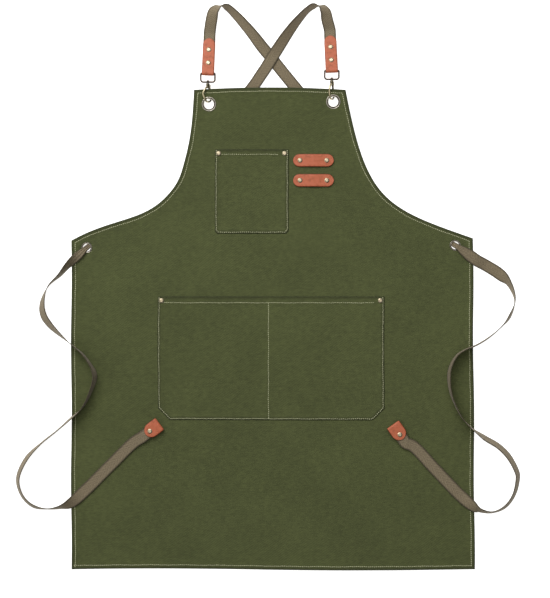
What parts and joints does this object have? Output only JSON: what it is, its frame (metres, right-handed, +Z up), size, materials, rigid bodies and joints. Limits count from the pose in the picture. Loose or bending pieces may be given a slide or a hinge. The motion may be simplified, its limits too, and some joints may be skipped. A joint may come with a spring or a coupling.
{
  "type": "apron",
  "caption": "Cross-back canvas work apron laid flat, with patch pockets, leather tool loops, webbing straps through eyelets, and leather shoulder tabs on swivel snap hooks.",
  "frame": {"origin": "On the surface the apron lies on, under the middle of the whole part's plan extent, straps included.", "axes": "+X to the viewer's right across the bib, +Y from the bottom hem to the bib and the strap arches, +Z up from the surface, out of the apron's front."},
  "size_m": [0.8584, 0.961, 0.0246],
  "materials": {
    "canvas": "waxed olive twill canvas, matt",
    "webbing": "khaki-brown herringbone cotton webbing, matt",
    "leather": "tan full-grain leather, semi-matt",
    "rivet_metal": "pale antique-brass tubular rivets",
    "eyelet_metal": "nickel-plated brass, polished",
    "hook_metal": "gunmetal-plated zinc and steel wire, polished"
  },
  "bodies": {
    "apron": {"body_panel": "canvas", "chest_pocket": "canvas", "lap_pocket": "canvas", "tool_loop_upper": "leather", "tool_loop_lower": "leather", "loop_rivet_upper_left_cap": "rivet_metal", "loop_rivet_upper_left_back": "rivet_metal", "loop_rivet_upper_right_cap": "rivet_metal", "loop_rivet_upper_right_back": "rivet_metal", "loop_rivet_lower_left_cap": "rivet_metal", "loop_rivet_lower_left_back": "rivet_metal", "loop_rivet_lower_right_cap": "rivet_metal", "loop_rivet_lower_right_back": "rivet_metal", "chest_rivet_left_cap": "rivet_metal", "chest_rivet_left_back": "rivet_metal", "chest_rivet_right_cap": "rivet_metal", "chest_rivet_right_back": "rivet_metal", "lap_rivet_left_cap": "rivet_metal", "lap_rivet_left_back": "rivet_metal", "lap_rivet_right_cap": "rivet_metal", "lap_rivet_right_back": "rivet_metal", "bib_eyelet_left": "eyelet_metal", "bib_eyelet_left_washer": "eyelet_metal", "bib_eyelet_right": "eyelet_metal", "bib_eyelet_right_washer": "eyelet_metal", "side_eyelet_left": "eyelet_metal", "side_eyelet_left_washer": "eyelet_metal", "side_eyelet_right": "eyelet_metal", "side_eyelet_right_washer": "eyelet_metal", "shoulder_tab_left": "leather", "tab_rivet_left_1_cap": "rivet_metal", "tab_rivet_left_1_back": "rivet_metal", "tab_rivet_left_2_cap": "rivet_metal", "tab_rivet_left_2_back": "rivet_metal", "strap_tip_left": "leather", "tip_rivet_left_cap": "rivet_metal", "tip_rivet_left_back": "rivet_metal", "strap_left": "webbing", "shoulder_tab_right": "leather", "tab_rivet_right_1_cap": "rivet_metal", "tab_rivet_right_1_back": "rivet_metal", "tab_rivet_right_2_cap": "rivet_metal", "tab_rivet_right_2_back": "rivet_metal", "strap_tip_right": "leather", "tip_rivet_right_cap": "rivet_metal", "tip_rivet_right_back": "rivet_metal", "strap_right": "webbing"},
    "loop_left": {"snap_loop_left": "hook_metal"},
    "hook_left": {"snap_hook_left": "hook_metal", "swivel_pin_left": "hook_metal", "gate_pin_left": "hook_metal", "gate_spring_left": "hook_metal"},
    "gate_left": {"hook_gate_left": "hook_metal"},
    "loop_right": {"snap_loop_right": "hook_metal"},
    "hook_right": {"snap_hook_right": "hook_metal", "swivel_pin_right": "hook_metal", "gate_pin_right": "hook_metal", "gate_spring_right": "hook_metal"},
    "gate_right": {"hook_gate_right": "hook_metal"}
  },
  "joints": [
    {"name": "loop_swing_left", "type": "hinge", "parent": "apron", "child": "loop_left", "pos_m": [-0.10172, 0.36177, 0.0149], "axis": [1, 0, 0], "range_deg": [-2, 0.3]},
    {"name": "hook_swivel_left", "type": "hinge", "parent": "loop_left", "child": "hook_left", "pos_m": [-0.10172, 0.34726, 0.01328], "axis": [0, 0.9938, 0.111], "range_deg": [-3, 16]},
    {"name": "gate_opening_left", "type": "hinge", "parent": "hook_left", "child": "gate_left", "pos_m": [-0.0996, 0.33834, 0.00936], "axis": [0.809, -0.0653, 0.5842], "range_deg": [-14, 0], "stiffness_Nm_per_rad": 0.03, "springref_deg": 11.46, "deforming": ["gate_spring_left"]},
    {"name": "loop_swing_right", "type": "hinge", "parent": "apron", "child": "loop_right", "pos_m": [0.10798, 0.36637, 0.01542], "axis": [1, 0, 0], "range_deg": [-2, 0.3]},
    {"name": "hook_swivel_right", "type": "hinge", "parent": "loop_right", "child": "hook_right", "pos_m": [0.10798, 0.35186, 0.0138], "axis": [0, 0.9938, 0.111], "range_deg": [-3, 16]},
    {"name": "gate_opening_right", "type": "hinge", "parent": "hook_right", "child": "gate_right", "pos_m": [0.10967, 0.34297, 0.00961], "axis": [0.8829, -0.0521, 0.4666], "range_deg": [-14, 0], "stiffness_Nm_per_rad": 0.03, "springref_deg": 11.46, "deforming": ["gate_spring_right"]}
  ]
}
